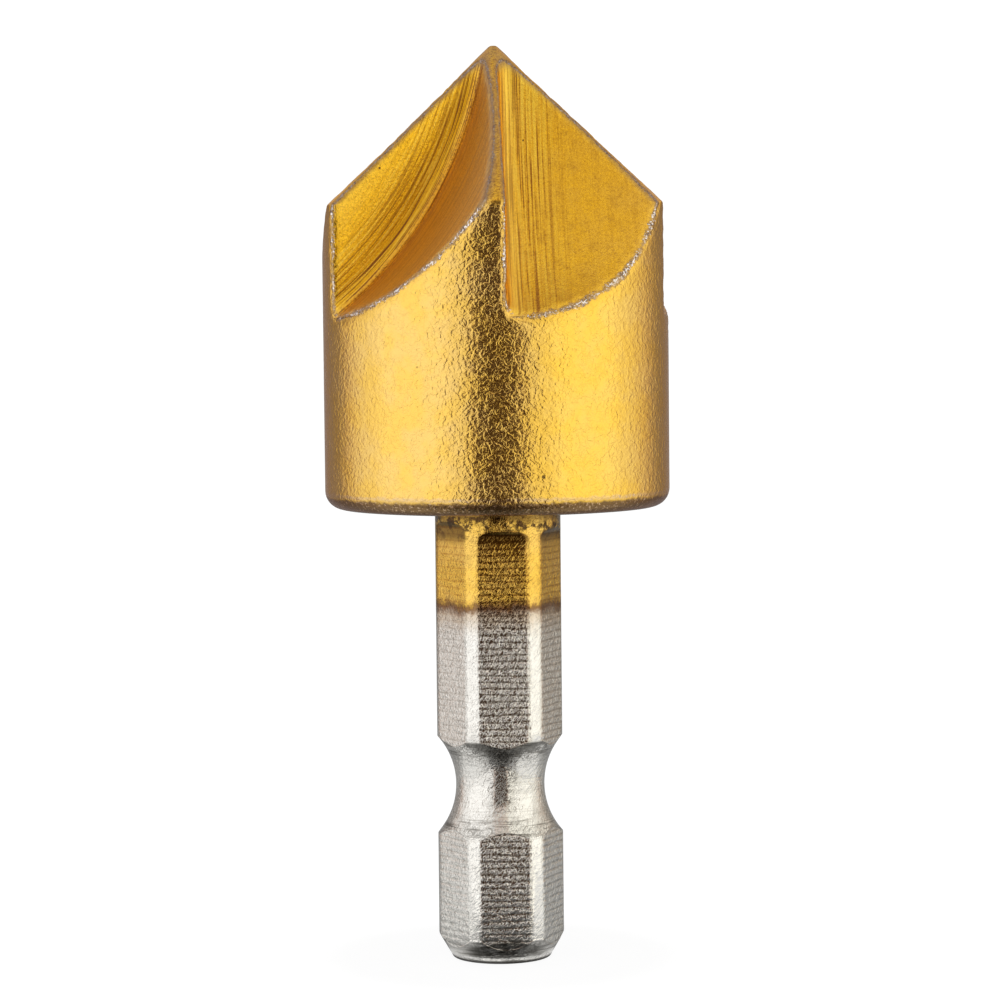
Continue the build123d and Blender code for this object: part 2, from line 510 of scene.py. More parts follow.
def bit_tree():
    """Geometry Nodes: sweeps the half section round, grinds the flutes, mills the flats and wears the edges."""
    tree = bpy.data.node_groups.new("Ground countersink bit", "GeometryNodeTree")
    tree.interface.new_socket("Half section", in_out="INPUT", socket_type="NodeSocketGeometry")
    for name in BIT_INPUTS:
        tree.interface.new_socket(name, in_out="INPUT", socket_type="NodeSocket" + INPUT_KINDS.get(name, "Float"))
    tree.interface.new_socket("Bit", in_out="OUTPUT", socket_type="NodeSocketGeometry")
    n = NodeMaker(tree)
    entry = n.node("NodeGroupInput")
    given = {name: n.out(entry, name) for name in BIT_INPUTS}
    section = n.out(entry, "Half section")

    size = n.made("GeometryNodeAttributeDomainSize", {"Geometry": section}, component="MESH")
    rows = n.out(size, "Point Count")
    grid = n.made("GeometryNodeMeshGrid", {"Size X": 1.0, "Size Y": 1.0, "Vertices X": COLUMNS + 1,
                                           "Vertices Y": rows})
    place = n.out(n.node("GeometryNodeInputPosition"))
    gx, gy, _ = n.separate(place)
    column = n.math("ROUND", (gx + 0.5) * COLUMNS)
    row = n.math("ROUND", (gy + 0.5) * (rows - 1.0))

    def section_point(at):
        return n.out(n.made("GeometryNodeSampleIndex", {"Geometry": section, "Value": place, "Index": at},
                            data_type="FLOAT_VECTOR", domain="POINT", clamp=True))

    radius, _, height = n.separate(section_point(row))
    before_r, _, before_z = n.separate(section_point(row - 1.0))
    after_r, _, after_z = n.separate(section_point(row + 1.0))
    run_r, run_z = after_r - before_r, after_z - before_z
    run_length = n.greater(n.hypot(run_r, run_z), 1e-9)
    normal = n.combine(run_z / run_length, 0.0, -(run_r / run_length))

    # the lower face carries the change from one pattern of columns to the other
    sector = n.math("DIVIDE", 2 * math.pi, given["Flutes"])
    head_angle, head_radius, flute_turn, flute = head_columns(n, given, column, radius, height, sector)
    shank_angle, shank_radius, flat_turn, flat_top = shank_columns(n, given, column, radius, height)
    is_head = n.math("GREATER_THAN", height, given["Head bottom"] + 0.02 * MM)
    inside, outside = given["Lower face inside"], given["Lower face outside"]
    over_face = n.clamp01((radius - inside) / (outside - inside))
    angle = n.blend(shank_angle, head_angle, n.greater(is_head, over_face))
    reach = n.switch("FLOAT", is_head, shank_radius, head_radius)
    start = n.combine(reach * n.math("SINE", angle), -(reach * n.math("COSINE", angle)), height)

    mesh = keep(n, n.out(grid, "Mesh"), "FLOAT_VECTOR", section_point=n.combine(radius, 0.0, height),
                section_normal=normal)
    mesh = keep(n, mesh, "FLOAT", flute_turn=flute_turn, flat_turn=flat_turn, flat_top=flat_top, is_head=is_head,
                flute_number=n.math("FLOORED_MODULO", flute, given["Flutes"]))
    mesh = n.step("GeometryNodeSetPosition", mesh, Position=start)

    # each pass moves every point onto the ground and worn surface
    repeat_in = n.node("GeometryNodeRepeatInput")
    repeat_out = n.node("GeometryNodeRepeatOutput")
    repeat_in.pair_with_output(repeat_out)
    n.fill(repeat_in, {"Iterations": PASSES, "Geometry": mesh})
    shift, edge_distance, cut_part, flute_place = ground_surface(n, given, place, sector)
    moved = n.step("GeometryNodeSetPosition", n.out(repeat_in, "Geometry"), Offset=shift)
    n.fill(repeat_out, {"Geometry": moved})
    mesh = n.out(repeat_out, "Geometry")

    mesh = keep(n, mesh, "FLOAT", edge_distance=edge_distance, cut_part=cut_part)
    mesh = keep(n, mesh, "FLOAT_VECTOR", flute_place=flute_place)
    for name in ("section_point", "section_normal", "flute_turn", "flat_turn", "flat_top"):
        mesh = n.step("GeometryNodeRemoveAttribute", mesh, Name=name)

    mesh = n.step("GeometryNodeMergeByDistance", mesh, Distance=MERGE_DISTANCE)
    mesh = n.step("GeometryNodeSetShadeSmooth", mesh)
    mesh = n.step("GeometryNodeRealizeInstances", mesh)
    mesh = n.step("GeometryNodeSetMaterial", mesh, Material=given["Shank material"])
    on_head = n.math("GREATER_THAN", kept(n, "FLOAT", "is_head"), 0.5)
    mesh = n.step("GeometryNodeSetMaterial", mesh, Selection=on_head, Material=given["Head material"])
    n.made("NodeGroupOutput", {"Bit": mesh})
    return tree


def set_inputs(modifier, values):
    """Writes a modifier's inputs by the names of its tree's sockets."""
    for item in modifier.node_group.interface.items_tree:
        if item.item_type == "SOCKET" and item.in_out == "INPUT" and item.name in values:
            modifier[item.identifier] = values[item.name]


# ---------------------------------------------------------------- colours of wear and dirt

WHITE = (1.0, 1.0, 1.0, 1.0)
COAT_BLOTCH = (0.10, 0.055, 0.02, 1.0)
COAT_PIT = (0.06, 0.03, 0.012, 1.0)
COAT_LUSTRE = (1.0, 0.80, 0.80, 1.0)
# painted shade on the last flute's floor
SHADED_FLOOR = (0.62, 0.43, 0.15, 1.0)
BLUNT_TIP = (0.36, 0.27, 0.17, 1.0)
# painted shade on the cone beside its edges
CONE_EDGE_SHADE = (0.30, 0.19, 0.10, 1.0)
# painted light: deeper gold on one side of the head
WARM_LIGHT_TINT = (1.0, 0.97, 0.25, 1.0)
TIRED_COAT = (0.33, 0.22, 0.13, 1.0)
DARK_GRAIN = (0.20, 0.135, 0.10, 1.0)
RIM_LINE = (0.66, 0.50, 0.36, 1.0)
RIM_FLECK = (0.70, 0.50, 0.30, 1.0)
# painted shade in the milled rows' troughs
ROW_TROUGH_SHADE = (0.24, 0.23, 0.19, 1.0)
# painted shade in the skin's creases
CREASE_SHADE = (0.14, 0.135, 0.11, 1.0)
LATHE_LINE = (0.17, 0.155, 0.13, 1.0)
# painted highlight round the shank's end
END_HIGHLIGHT = (1.0, 0.98, 0.95, 1.0)
# painted shade on the end face
END_FACE_SHADE = (0.13, 0.125, 0.11, 1.0)
STEEL_PIT = (0.10, 0.09, 0.08, 1.0)
HEAT_HAZE = (0.55, 0.38, 0.20, 1.0)
# painted shade under the head and at the flats' upper ends
UNDER_HEAD_SHADE = (0.09, 0.045, 0.018, 1.0)


# ---------------------------------------------------------------- shader groups

def new_group(name, **inputs):
    """An empty shader group, a maker for its nodes and its input wires. An input without a default is a vector."""
    tree = bpy.data.node_groups.new(name, "ShaderNodeTree")
    for label, default in inputs.items():
        kind = "NodeSocketVector" if default is None else "NodeSocketFloat"
        socket = tree.interface.new_socket(label, in_out="INPUT", socket_type=kind)
        if default is not None:
            socket.default_value = default
    n = NodeMaker(tree)
    entry = n.node("NodeGroupInput")
    return tree, n, [n.out(entry, label) for label in inputs]


def end_group(tree, n, **outputs):
    """Gives the group its outputs. The one named Color is a colour, and the rest are numbers."""
    for label in outputs:
        kind = "NodeSocketColor" if label == "Color" else "NodeSocketFloat"
        tree.interface.new_socket(label, in_out="OUTPUT", socket_type=kind)
    n.made("NodeGroupOutput", outputs)
    return tree


def use_group(n, tree, **values):
    """Places a shader group with its own values."""
    return n.made("ShaderNodeGroup", values, node_tree=tree)


def pebble_group():
    """Skin of a blasted surface under its coat: short crisp creases, as a height in millimetres and a mask of painted
    shade in the creases.
    """
    tree, n, (place, scale, depth, spread) = new_group(
        "Pebbled skin", Place=None, Scale=3.2, Depth=0.018, Spread=0.07)
    strength = n.ramp(n.noise(n.vector("ADD", place, (2.7, 8.1, 5.5)), scale * 0.7, 1.0), 0.30, 0.58) * 0.4 + 0.6
    height, shade = 0.0, 0.0
    for turn, finer in (((0.7, 0.4, 0.9), 1.0), ((2.1, 1.3, 0.5), 1.45), ((0.9, 2.6, 1.7), 2.1)):
        turned = n.made("ShaderNodeVectorRotate", {"Vector": place, "Rotation": turn}, rotation_type="EULER_XYZ")
        field = n.noise(n.out(turned), scale * finer, 0.3, 0.5, 0.6)
        height = (n.ramp(field, 0.5 - spread, 0.5 + spread) - 0.5) * (1 / finer) + height
        shade = n.greater(n.ramp(n.away(field, 0.5), 0.055, 0.0), shade)
    return end_group(tree, n, Height=height * strength * depth, Shade=shade * strength)


def lines_group():
    """Lines of a wheel, a lathe or a cutter: a height in millimetres, and masks of the dark and the light ones."""
    tree, n, (across, along, scale, stretch, seed, depth) = new_group(
        "Tool lines", Across=0.0, Along=0.0, Scale=3.0, Stretch=0.03, Seed=0.0, Depth=0.01)
    across, along = across * scale, along * scale * stretch
    broad = n.noise(n.combine(across * 0.45, along, seed), 1.0, 1.0, 0.5)
    middle = n.noise(n.combine(across, along * 1.5, seed + 5.0), 1.0, 1.0, 0.5)
    fine = n.noise(n.combine(across * 2.3, along * 3.0, seed + 11.0), 1.0, 1.0, 0.5)
    total = broad * 0.35 + middle * 0.8 + fine * 0.45
    mixed = broad * 0.18 + middle * 0.40 + fine * 0.42
    return end_group(tree, n, Height=total * depth, Dark=n.ramp(mixed, 0.50, 0.40), Light=n.ramp(mixed, 0.505, 0.59))


def pits_group():
    """Small pits, as a mask."""
    tree, n, (place, scale, size, share) = new_group("Pits", Place=None, Scale=1.5, Size=0.08, Share=0.4)
    cell = n.made("ShaderNodeTexVoronoi", {"Vector": place, "Scale": scale}, feature="F1")
    wobble = n.sway(place, scale * 6.0, 2.0, 0.5, 0.12)
    choice, own_size, _ = n.separate(n.out(cell, "Color"))
    reach = size * (0.4 + own_size)
    near = n.ramp(n.out(cell, "Distance") + wobble, reach, reach * 0.5)
    return end_group(tree, n, Mask=near * n.math("LESS_THAN", choice, share))


def wear_group():
    """Ragged, speckled strip along a worn edge: bare grains of metal, and the tired coat between and beside them."""
    tree, n, (place, distance, width) = new_group("Worn edge", Place=None, Distance=1.0, Width=0.12)
    ragged, grain = n.noise(place, 4.2, 2.0, 0.6), n.noise(place, 10.0, 1.0, 0.6)
    reach = distance / width - n.sway(place, 0.9, 3.0, 0.6, 5.0) - (ragged - 0.5) * 3.4
    gaps = n.ramp(n.noise(place, 0.8, 2.0, 0.6), 0.40, 0.52)
    return end_group(tree, n, Bare=n.ramp(reach + (grain - 0.5) * 8.0, 0.75, 0.1) * (0.35 + gaps * 0.65),
                     Border=n.ramp(reach, 2.3, 0.5), Height=(grain + ragged * 0.8) * 0.03,
                     Grain=n.ramp(n.noise(place, 7.0, 1.0, 0.6), 0.44, 0.58))


def coat_group(s):
    """Gold coat: bright where the skin is turned, deeper where it is ground, with brown blotches, and painted shade
    where Dark says.
    """
    tree, n, (place, ground, wall, dark, blotches) = new_group(
        "Gold coat", Place=None, Ground=0.0, Wall=0.0, Dark=0.0, Blotches=0.0)
    broad = n.noise(place, 0.55, 3.0, 0.6)
    turned_gold = n.mix_colour(n.ramp(broad, 0.35, 0.65), opaque(*s.pale_coat_colour), opaque(*s.coat_colour))
    wall_gold = opaque(*s.wall_coat_colour)
    ground_gold = n.mix_colour(n.ramp(broad, 0.65, 0.35) * 0.5, opaque(*s.ground_coat_colour), wall_gold)
    blotched = n.ramp(n.noise(place, 1.5, 5.0, 0.65), 0.48, 0.58) * blotches
    gold = n.painted(turned_gold, (ground, ground_gold), (wall, wall_gold), (dark, opaque(*s.line_shade_colour)),
                     (blotched, COAT_BLOTCH))
    return end_group(tree, n, Color=gold, Roughness=0.155 + ground * 0.10 + dark * 0.12 + blotched * 0.2)


def shader_groups(s):
    """Builds every shared group once."""
    return {"pebble": pebble_group(), "lines": lines_group(), "pits": pits_group(), "wear": wear_group(),
            "coat": coat_group(s)}


# ---------------------------------------------------------------- materials

def start_material(name):
    """A material with one metallic Principled shader, a maker for its nodes and its place in millimetres."""
    material = bpy.data.materials.new(name)
    material.use_nodes = True
    n = NodeMaker(material.node_tree)
    shader = n.fill(material.node_tree.nodes["Principled BSDF"], {"Metallic": 1.0})
    return material, n, shader, object_place(n)


def object_place(n):
    """Where a point is on its object, in millimetres."""
    return n.scaled(n.out(n.node("ShaderNodeTexCoord"), "Object"), 1 / MM)


def relief(n, height):
    """A Bump node's normal for a height in millimetres."""
    return n.out(n.made("ShaderNodeBump", {"Strength": 1.0, "Distance": MM, "Height": height}), "Normal")


def head_material(s, groups):
    """Gold-coated head: pebbled outside, wheel-ground in the flutes, worn bare along its edges."""
    material, n, shader, place = start_material("coated head")
    side, _, up = n.separate(place)
    edge, cut, flute = n.attribute("edge_distance"), n.attribute("cut_part"), n.attribute("flute_number")

    # inside is the distance from the wheel's rim, and beside is the distance from its flat side
    u, w, z = n.separate(n.attribute("flute_place", "Vector"))
    distance, height = wheel_centre(s)
    to_u, to_z = distance / MM - u, height / MM - z
    inside = s.wheel_radius / MM - n.hypot(to_u, to_z)
    beside = w - s.rake_offset / MM
    is_cut = n.ramp(cut, 0.45, 0.75)
    on_wall = n.ramp(inside - beside, -0.40, 0.40)
    wall, floor = on_wall * is_cut, is_cut * (1.0 - on_wall)
    round_part = s.wheel_corner / MM
    fillet = n.ramp(n.greater(inside, beside), round_part * 1.35, round_part * 0.75) * is_cut
    corner = n.ramp(inside, 1.7, 0.4) * n.ramp(beside, 1.7, 0.4) * cut
    top = OVERALL_LENGTH / MM
    shoulder = top - (s.head_radius - s.tip_radius) / math.tan(s.point_angle / 2) / MM
    cone = n.ramp(z, shoulder - 0.5, shoulder + 0.1)
    smooth = n.greater(cut, cone)

    # painted shade: the last flute's floor is painted browner and darker than the others, with more dark lines and
    # grain
    shaded_flute = n.ramp(n.away(flute, s.flutes - 1.0), 0.6, 0.4)
    lines = use_group(n, groups["lines"], Across=inside - beside,
                      Along=n.math("ARCTAN2", to_z, to_u) * (s.wheel_radius / MM), Scale=7.4, Stretch=0.010,
                      Seed=flute * 13.0 + 2.37, Depth=0.018)
    dark_lines, light_lines = n.out(lines, "Dark"), n.out(lines, "Light")
    skin = use_group(n, groups["pebble"], Place=place, Scale=3.1, Depth=0.0098, Spread=0.080)
    grain = use_group(n, groups["pebble"], Place=place, Scale=6.5, Depth=0.0054)
    pits = n.out(use_group(n, groups["pits"], Place=place, Scale=0.75, Size=0.06, Share=0.30), "Mask")
    worn = use_group(n, groups["wear"], Place=place, Distance=edge, Width=n.blend(0.098, 0.055, cone))
    bare, border = n.out(worn, "Bare"), n.out(worn, "Border")

    # the wheel's lines are deepest beside its rounded corner, and fade away from it; their dark lines are painted
    # shade in the grooves
    near_wall = n.greater(0.08 + n.ramp(w, 4.2, 1.4) * (0.62 + n.ramp(z, 40.5, 46.0) * 0.38), shaded_flute * 0.80)
    near_floor = 0.10 + n.ramp(inside, 3.8, 0.8) * 0.90
    dark = (dark_lines * (floor * near_wall * 1.1 + wall * near_floor * 0.76 + fillet * 0.4)
            + floor * shaded_flute * 0.20)
    mottle = n.ramp(n.noise(place, 8.0, 2.0, 0.7), 0.54, 0.38) * (0.24 + shaded_flute * 0.46) * (1.0 - wall)
    # painted shade in the fine grain's creases, with random mottling
    speckle = (n.ramp(n.out(grain, "Shade"), 0.45, 0.95) * 0.26 + mottle) * smooth
    patches = n.ramp(n.noise(place, 1.3, 4.0, 0.65), 0.50, 0.68) * floor * 0.22
    shade = n.ramp(n.out(skin, "Shade"), 0.35, 1.0) * (1.0 - smooth) * 0.16 + patches
    coat = use_group(n, groups["coat"], Place=place, Ground=smooth, Wall=wall,
                     Dark=n.clamp01(dark + speckle + shade), Blotches=0.0)
    # painted highlight: the floor beside the rake wall, the ridges between the wheel's lines and the rake wall away
    # from the floor are painted lighter
    light = n.ramp(w, 1.3, 0.7) * 0.45 * (1.0 - shaded_flute) + light_lines * near_wall * (0.8 - shaded_flute * 0.3)
    light = light * floor + light_lines * wall * near_floor * 0.85 + wall * n.ramp(inside, 2.4, 5.0) * 0.55
    colour = n.painted(n.out(coat, "Color"), (n.clamp01(light), opaque(*s.line_highlight_colour)),
                       (floor * shaded_flute * (1.0 - fillet) * 0.55, SHADED_FLOOR), (pits * 0.85, COAT_PIT),
                       (n.ramp(z, top - 1.3, top - 0.4) * 0.45, BLUNT_TIP),
                       # painted shade: a brown band on the cone beside its edges
                       (cone * n.ramp(edge, 0.42, 0.10) * 0.55, CONE_EDGE_SHADE))

    # painted light: the coat is painted a little deeper gold on one side, standing in for the warmer light there
    deeper = n.ramp(side, -0.5, 2.6) * (1.0 - n.ramp(side, 4.5, 8.6))
    colour = n.mix_colour(deeper * 0.45, colour, n.mix_colour(1.0, colour, WARM_LIGHT_TINT, "MULTIPLY"))

    # rim and lower face: painted shade, dark brown where they face down, with bare grains
    foot = s.head_bottom / MM
    ragged = n.sway(place, 2.2, 4.0, 0.6, 0.42)
    flecks = n.ramp(n.noise(place, 7.0, 2.0, 0.6), 0.56, 0.66)
    rim = n.ramp(up + ragged, foot + 0.80, foot + 0.60)
    line = n.ramp(n.away(up + ragged * 0.9, foot + 0.88), 0.15, 0.03)
    silver = n.out(worn, "Grain") * (1.0 - cone * 0.70)
    colour = n.painted(colour, (line * (flecks * 0.5 + 0.35), RIM_LINE), (rim * 0.90, opaque(*s.rim_shade_colour)),
                       (rim * flecks * 0.8, RIM_FLECK), (border * 0.70, TIRED_COAT),
                       (bare, n.mix_colour(silver, DARK_GRAIN, opaque(*s.bare_colour))))

    ground_height = (n.out(lines, "Height") * (floor * near_wall + wall * near_floor + fillet * 0.6)
                     + n.out(grain, "Height") * smooth)
    total = n.out(skin, "Height") * (1.0 - smooth) + ground_height + n.out(worn, "Height") * border - pits * 0.03
    rough = n.out(coat, "Roughness") + border * 0.16 + rim * 0.12 + corner * 0.06 + fillet * 0.16
    n.fill(shader, {"Base Color": colour, "Roughness": rough, "Specular Tint": COAT_LUSTRE, "Coat Weight": 0.30,
                    "Coat Roughness": 0.3, "Normal": relief(n, total)})
    return material


ROW_SPACING = 0.365          # between the rows that the milling cutter left, in millimetres
COAT_LIMIT = 19.62           # height of the coat's lower end, in millimetres


def milled_rows(n, place, z):
    """Rows left by the cutter that milled a flat: a wave, a height in millimetres and a mask of painted shade in the
    troughs.
    """
    wobble = n.sway(n.vector("MULTIPLY", place, (0.35, 0.35, 0.8)), 1.0, 2.0, 0.6, 0.30)
    wave = n.math("SINE", (z + wobble) * (2 * math.pi / ROW_SPACING))
    strength = n.noise(n.vector("MULTIPLY", place, (1.3, 1.3, 1.9)), 1.0, 2.0, 0.6)
    dashes = n.ramp(n.noise(n.vector("MULTIPLY", place, (1.0, 1.0, 1.6)), 3.1, 2.0, 0.6), 0.42, 0.58)
    return wave, wave * strength * 0.0105, n.ramp(wave * strength, -0.24, -0.48) * (0.40 + dashes * 0.60)


def shank_material(s, groups):
    """Bare milled steel, with the coat's lower end on its neck."""
    material, n, shader, place = start_material("bare shank")
    x, y, z = n.separate(place)
    aside = n.math("ABSOLUTE", x)
    waist, flats_end = s.groove_height / MM, min(s.flat_tops) / MM
    milled = n.ramp(n.attribute("cut_part"), 0.4, 0.7)
    groove = n.ramp(n.away(z, waist), 2.75, 2.55)
    lathe = n.greater(groove, n.ramp(z, 1.45, 1.25)) * (1.0 - milled)

    wave, row_height, row_shade = milled_rows(n, place, z)
    turned = use_group(n, groups["lines"], Across=z, Along=x, Scale=5.0, Stretch=0.05, Seed=y * 0.25 + 21.43,
                       Depth=0.034)
    slanting = n.combine(n.dot(place, (0.92, 0.30, -0.92)), n.dot(place, (0.50, -0.40, 0.50)),
                         n.dot(place, (-0.25, 1.00, 0.10)))
    skin = use_group(n, groups["pebble"], Place=slanting, Scale=3.9, Depth=0.0160, Spread=0.038)
    pits = n.out(use_group(n, groups["pits"], Place=place, Scale=1.9, Size=0.07, Share=0.22), "Mask")
    # painted shade in the milled rows' troughs
    troughs = row_shade * 0.75 * milled
    # painted shade in the skin's creases
    creases = n.ramp(n.out(skin, "Shade"), 0.50, 1.0) * (1.0 - groove * 0.5)
    away_from_waist = n.greater(n.ramp(n.away(z, waist), 1.3, 2.1), n.ramp(z, 1.5, 1.2))
    grooved = lathe * (0.25 + 0.75 * away_from_waist)

    # painted shade where the groove and the end's chamfer meet the flats, with dark squiggles beside and between the
    # flats, and a painted highlight round the end
    blotch = n.ramp(n.noise(n.vector("MULTIPLY", place, (1.0, 1.0, 2.2)), 1.25, 4.0, 0.65), 0.38, 0.56)
    squiggle = n.ramp(n.out(skin, "Shade"), 0.15, 0.65)
    over = z - waist + n.sway(place, 2.4, 4.0, 0.65, 1.0) + (squiggle - 0.5) * 0.45
    shade_under_flats = n.ramp(over + n.ramp(aside, 1.5, 0.2) * 0.50 - n.ramp(aside, 1.4, 2.6) * 0.52, 1.62, 2.25) * 0.92
    beside_flats = n.ramp(n.math("ABSOLUTE", over), 0.9, 2.3) * squiggle * 0.62
    middle = n.ramp(aside, 1.05, 0.25) * n.ramp(over, -1.6, -0.2) * squiggle * 0.80
    shade_and_squiggles = n.greater(n.greater(shade_under_flats, beside_flats), middle) * groove * (1.0 - milled)
    end_top = z + (blotch - 0.5) * 0.3 - n.ramp(aside, 1.7, 0.4) * 0.30
    chamfer_shade = (n.ramp(z, 0.22, 0.50) * n.ramp(end_top, 1.30, 1.02) * (0.60 + blotch * 0.40)
              * n.ramp(aside, 2.8, 1.5))
    end_highlight = n.ramp(n.away(z, 0.29), 0.10, 0.03) * (0.12 + n.ramp(aside, 0.5, 2.2) * 0.60)
    steel = n.mix_colour(n.noise(place, 0.9, 4.0, 0.6), opaque(*s.steel_colour), opaque(*s.light_steel_colour))
    steel = n.painted(steel, (troughs * 0.58, ROW_TROUGH_SHADE), (creases * (0.08 + milled * 0.20), CREASE_SHADE),
                      (n.out(turned, "Dark") * grooved * 0.75, LATHE_LINE),
                      (n.greater(shade_and_squiggles, chamfer_shade) * 0.88, opaque(*s.flat_end_shade_colour)), (end_highlight, END_HIGHLIGHT),
                      # painted shade on the end face
                      (n.ramp(z, 0.21, 0.12) * 0.80, END_FACE_SHADE), (pits * 0.7, STEEL_PIT))

    # the coat ends in a ragged brown line a few millimetres below the head
    ragged = n.sway(place, 1.1, 3.0, 0.6, 0.9) + n.sway(place, 5.0, 3.0, 0.6, 0.5)
    level = z + ragged
    coated = n.ramp(level, COAT_LIMIT - 0.27, COAT_LIMIT + 0.13)
    haze = n.ramp(level, 17.9, 19.6) * (1.0 - coated)
    burn = n.ramp(n.away(level, COAT_LIMIT), 0.40 + milled * 0.15, 0.02)
    coat = use_group(n, groups["coat"], Place=place, Ground=0.22,
                     Dark=n.clamp01(troughs * 0.60 + creases * (0.12 + milled * 0.30)),
                     # the coat's brown blotches grow thicker towards the head
                     Blotches=n.ramp(level, 22.9, 24.2) * 0.85 + (1.0 - milled) * 0.15)
    # painted shade: dark on the neck just under the head, and on the flats just below their upper ends
    shade_under_head = n.ramp(z + ragged * 1.1, 24.05, 24.65) * (1.0 - milled)
    flat_top_shade = n.ramp(z, flats_end - 1.00, flats_end - 0.30) * milled
    colour = n.painted(steel, (haze * 0.65, HEAT_HAZE), (coated, n.out(coat, "Color")),
                       (burn * 0.82, opaque(*s.burn_colour)), (n.greater(shade_under_head * 0.80, flat_top_shade * 0.75), UNDER_HEAD_SHADE))

    even = 1.0 - n.ramp(z, 21.6, 23.3) * milled * 0.75
    strokes = n.ramp(wave + n.sway(place, 2.6, 2.0, 0.6, 3.2), -0.75, 0.15)
    strokes = n.blend(0.62, 0.34 + strokes * 0.66, milled)
    total = ((n.out(skin, "Height") * strokes + row_height * milled) * even
             + n.out(turned, "Height") * grooved - pits * 0.02)
    n.fill(shader, {"Base Color": colour, "Roughness": 0.080 + pits * 0.2 + burn * 0.1, "Normal": relief(n, total)})
    return material


# ---------------------------------------------------------------- operators

def new_object(context, name, data):
    """Puts a mesh, a lamp or a camera in the scene."""
    thing = bpy.data.objects.new(name, data)
    context.scene.collection.objects.link(thing)
    return thing


class COUNTERSINK_OT_bit(bpy.types.Operator):
    """Build the countersink bit's finished skin from its half section"""
    bl_idname = "countersink.bit"
    bl_label = "Countersink Bit"

    def execute(self, context):
        s = context.scene.countersink_settings
        mesh = bpy.data.meshes.new("half_section")
        mesh.from_pydata([(r, 0.0, z) for r, z in half_section(s)], [], [])
        source = new_object(context, "half_section", mesh)
        groups = shader_groups(s)
        modifier = source.modifiers.new("Grind", "NODES")
        modifier.node_group = bit_tree()
        distance, height = wheel_centre(s)
        set_inputs(modifier, {
            "Flutes": s.flutes, "Flute angle": s.flute_angle, "Rake offset": s.rake_offset,
            "Wheel radius": s.wheel_radius, "Wheel corner": s.wheel_corner,
            "Wheel distance": distance, "Wheel height": height, "Run-out height": s.runout_height,
            "Head bottom": s.head_bottom, "Lower face inside": s.corner_radius + s.neck_rounding,
            "Lower face outside": s.head_radius - s.rim_radius, "Corner radius": s.corner_radius,
            "Flat distance": s.flat_distance, "Flat tops": s.flat_tops, "Flat end radius": s.flat_end_radius,
            "Edge wear": s.edge_wear, "Hex edge wear": s.hex_wear,
            "Head material": head_material(s, groups), "Shank material": shank_material(s, groups),
        })
        evaluated = source.evaluated_get(context.evaluated_depsgraph_get())
        skin = bpy.data.meshes.new_from_object(evaluated)
        skin.name = PIECE
        if skin.materials[0] is None:
            skin.materials.pop(index=0)
        bit = new_object(context, PIECE, skin)
        bpy.data.objects.remove(source)
        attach(bit, "root")
        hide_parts("countersink_bit")
        return {"FINISHED"}


class COUNTERSINK_OT_stage(bpy.types.Operator):
    """Build the sweep, the room, the lamps and the camera"""
    bl_idname = "countersink.stage"
    bl_label = "Studio Stage"

    def execute(self, context):
        build_stage(context)
        build_camera(context)
        return {"FINISHED"}


# ---------------------------------------------------------------- stage

SWEEP_FRONT = -0.0142        # distances from the axis, away from the camera
SWEEP_BACK = 0.12
SWEEP_CURVE = 0.04           # radius between the sweep's floor and its wall
SWEEP_STEPS = 12
SWEEP_HEIGHT = 0.16
SWEEP_GAP = 0.00002          # between the sweep and the shank's end
ROOM_SHADE = (1.0, 0.61, 0.42, 1.0)
ROOM_RIGHT = (1.0, 0.98, 0.90, 1.0)
SWEEP_COLOUR = (0.14, 0.14, 0.14, 1.0)


def softbox(context, name, place, target, size, radiance):
    """A rectangular lamp of this radiance that faces the target."""
    light = bpy.data.lights.new(name, "AREA")
    light.shape = "RECTANGLE"
    light.size, light.size_y = size
    light.energy = radiance * size[0] * size[1] * math.pi
    lamp = new_object(context, name, light)
    lamp.location = place
    lamp.rotation_euler = (target - place).to_track_quat("-Z", "Y").to_euler()


def seen_by(n):
    """Whether a ray comes from the camera, or from a reflection in metal."""
    path = n.node("ShaderNodeLightPath")
    mirrored = n.greater(n.out(path, "Is Glossy Ray"), n.out(path, "Is Transmission Ray"))
    return path, mirrored


